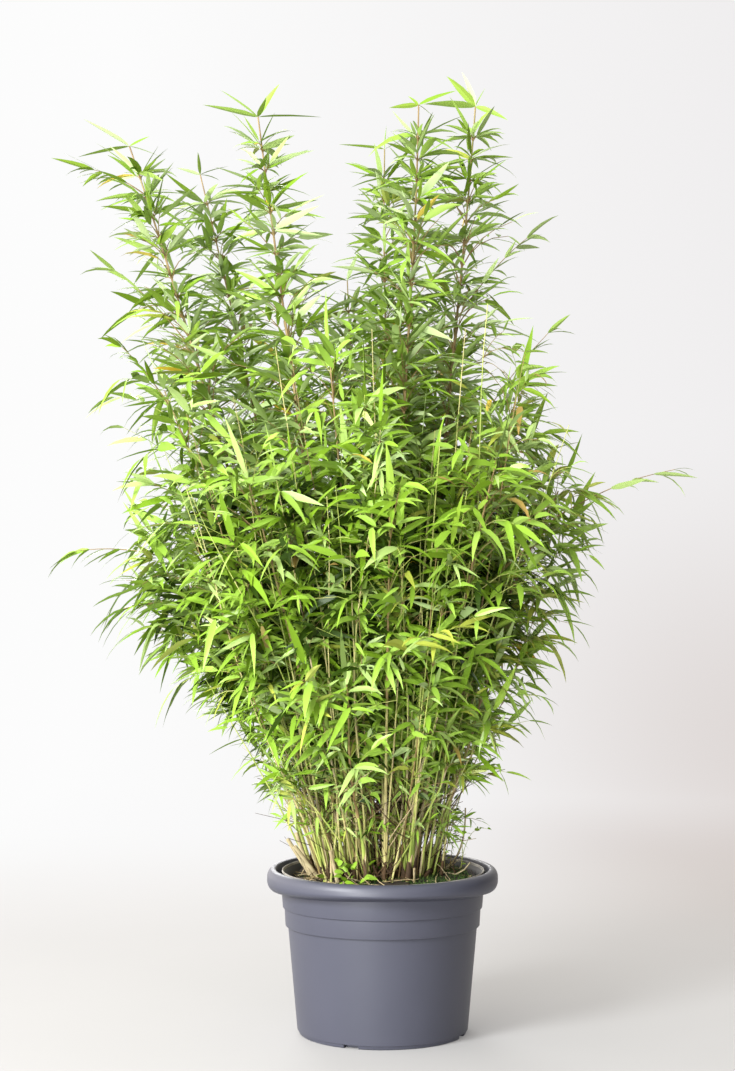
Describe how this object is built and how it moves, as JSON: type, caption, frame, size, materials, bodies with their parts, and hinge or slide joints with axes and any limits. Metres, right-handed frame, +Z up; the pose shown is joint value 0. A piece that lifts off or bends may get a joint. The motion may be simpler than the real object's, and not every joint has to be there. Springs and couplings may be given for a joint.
{
  "type": "potted bamboo",
  "caption": "Clump-forming bamboo with slender upright canes and narrow drooping leaves, growing in a round tapered plastic planter with a rolled rim.",
  "frame": {"origin": "centre of the planter's flat underside", "axes": "+Z up along the clump, +X to the right and -Y towards the viewer of the pictured side"},
  "size_m": [1.1584, 0.9231, 1.6929],
  "materials": {
    "planter": "satin moulded plastic",
    "inner_pot": "thin matte plastic",
    "soil": "moist peat with moss and straw",
    "cane": "smooth waxy cane with papery sheaths",
    "old_cane": "dry straw-coloured cane",
    "foliage": "satin leaf"
  },
  "bodies": {
    "root": {"container": "planter", "inner_pot": "inner_pot", "soil": "soil", "cane_far_left": "cane", "cane_left_rear": "cane", "cane_left": "cane", "cane_middle": "cane", "cane_inner_left": "cane", "cane_inner_right": "cane", "cane_right": "cane", "cane_rear_left": "cane", "cane_rear_right": "cane", "cane_upper_left_side": "cane", "cane_left_side": "cane", "cane_left_side_rear": "cane", "cane_front_left": "cane", "cane_front": "cane", "cane_front_right": "cane", "cane_upper_right_side": "cane", "cane_right_side": "cane", "cane_right_side_rear": "cane", "cane_rear": "cane", "cane_centre": "cane", "cane_low_left": "cane", "cane_low_right": "cane", "cane_low_front": "cane", "cane_low_rear": "cane", "cane_bare_1": "cane", "cane_bare_2": "cane", "cane_bare_3": "cane", "cane_bare_4": "cane", "cane_bare_5": "cane", "cane_bare_6": "cane", "cane_cut_1": "old_cane", "cane_cut_2": "old_cane", "leaves_far_left": "foliage", "leaves_left_rear": "foliage", "leaves_left": "foliage", "leaves_middle": "foliage", "leaves_inner_left": "foliage", "leaves_inner_right": "foliage", "leaves_right": "foliage", "leaves_rear_left": "foliage", "leaves_rear_right": "foliage", "leaves_upper_left_side": "foliage", "leaves_left_side": "foliage", "leaves_left_side_rear": "foliage", "leaves_front_left": "foliage", "leaves_front": "foliage", "leaves_front_right": "foliage", "leaves_upper_right_side": "foliage", "leaves_right_side": "foliage", "leaves_right_side_rear": "foliage", "leaves_rear": "foliage", "leaves_centre": "foliage", "leaves_low_left": "foliage", "leaves_low_right": "foliage", "leaves_low_front": "foliage", "leaves_low_rear": "foliage"}
  },
  "joints": []
}
